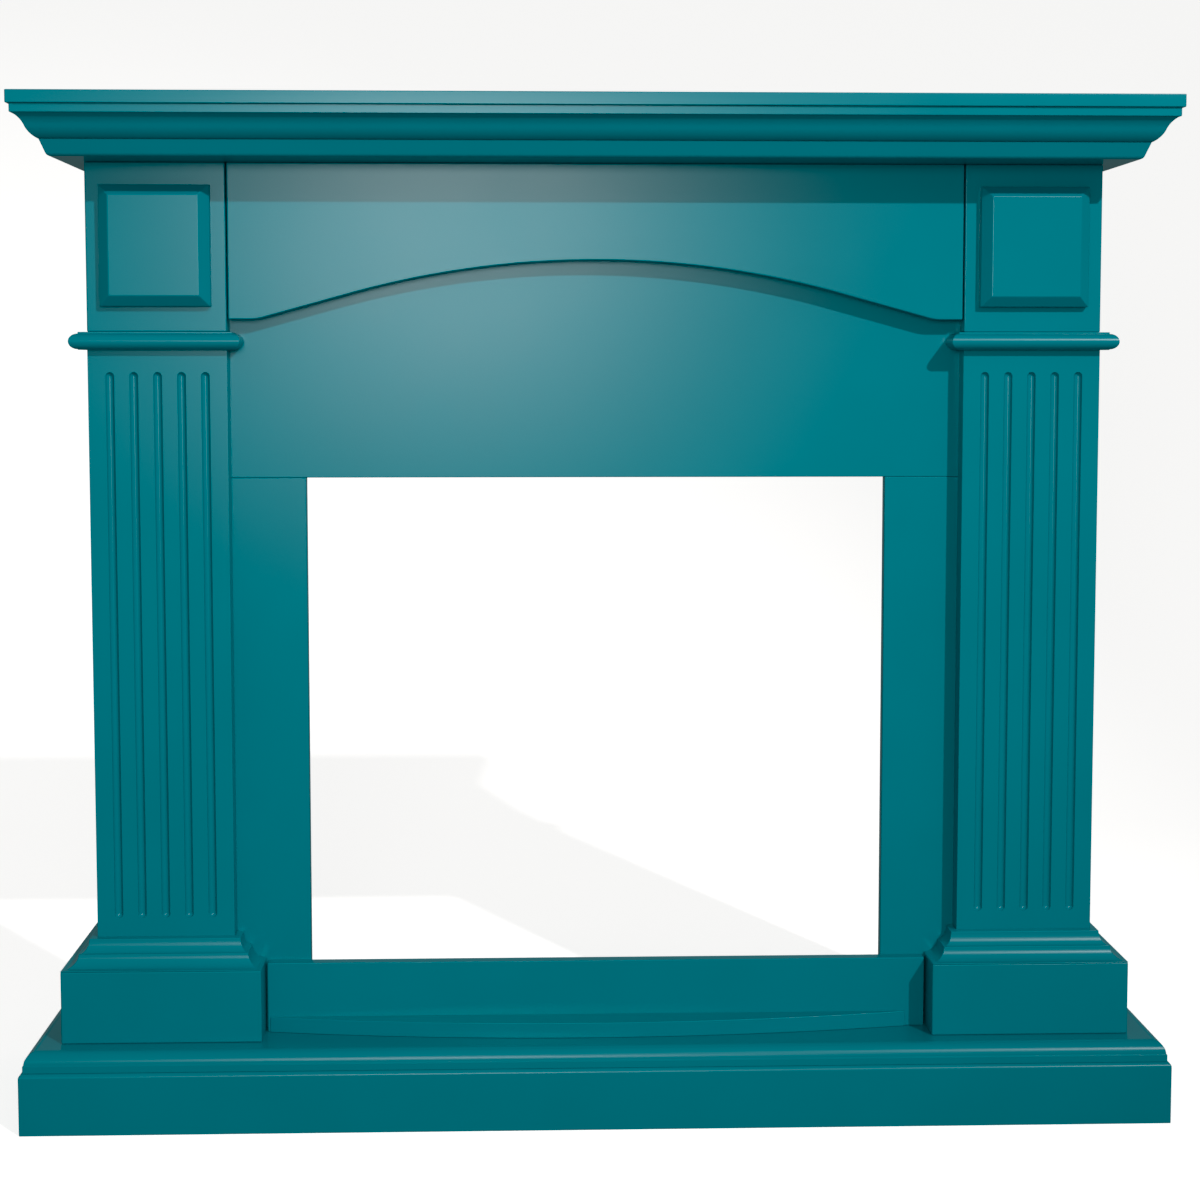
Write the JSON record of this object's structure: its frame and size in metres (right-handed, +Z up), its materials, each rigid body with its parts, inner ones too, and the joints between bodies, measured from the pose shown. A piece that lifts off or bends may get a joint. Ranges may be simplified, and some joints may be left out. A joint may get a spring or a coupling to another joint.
{
  "type": "fireplace mantelpiece",
  "caption": "Free-standing fireplace surround with moulded shelf, arched frieze, fluted legs on plinths and a raised hearth, in satin teal lacquer.",
  "frame": {"origin": "on the floor, under the middle of the whole object's box", "axes": "+X to the viewer's right, +Y towards the wall, +Z up; the front faces -Y"},
  "size_m": [1.22, 0.36, 1.0813],
  "materials": {
    "teal_lacquer": "satin sprayed lacquer on medium density fibreboard"
  },
  "bodies": {
    "root": {"apron_front": "teal_lacquer", "apron_left": "teal_lacquer", "apron_right": "teal_lacquer", "hearth_board": "teal_lacquer", "header_panel": "teal_lacquer", "left_slip": "teal_lacquer", "right_slip": "teal_lacquer", "lower_rail": "teal_lacquer", "fender_board": "teal_lacquer", "frieze": "teal_lacquer", "left_shaft_board": "teal_lacquer", "left_capital_board": "teal_lacquer", "left_raised_block": "teal_lacquer", "left_neck_plate": "teal_lacquer", "left_neck_return": "teal_lacquer", "left_side_panel": "teal_lacquer", "left_plinth_front": "teal_lacquer", "left_plinth_outer": "teal_lacquer", "left_plinth_inner": "teal_lacquer", "left_base_moulding_front": "teal_lacquer", "left_base_moulding_outer": "teal_lacquer", "left_base_moulding_inner": "teal_lacquer", "right_shaft_board": "teal_lacquer", "right_capital_board": "teal_lacquer", "right_raised_block": "teal_lacquer", "right_neck_plate": "teal_lacquer", "right_neck_return": "teal_lacquer", "right_side_panel": "teal_lacquer", "right_plinth_front": "teal_lacquer", "right_plinth_outer": "teal_lacquer", "right_plinth_inner": "teal_lacquer", "right_base_moulding_front": "teal_lacquer", "right_base_moulding_outer": "teal_lacquer", "right_base_moulding_inner": "teal_lacquer", "soffit_board": "teal_lacquer", "crown_front": "teal_lacquer", "crown_left": "teal_lacquer", "crown_right": "teal_lacquer", "shelf": "teal_lacquer"}
  },
  "joints": []
}
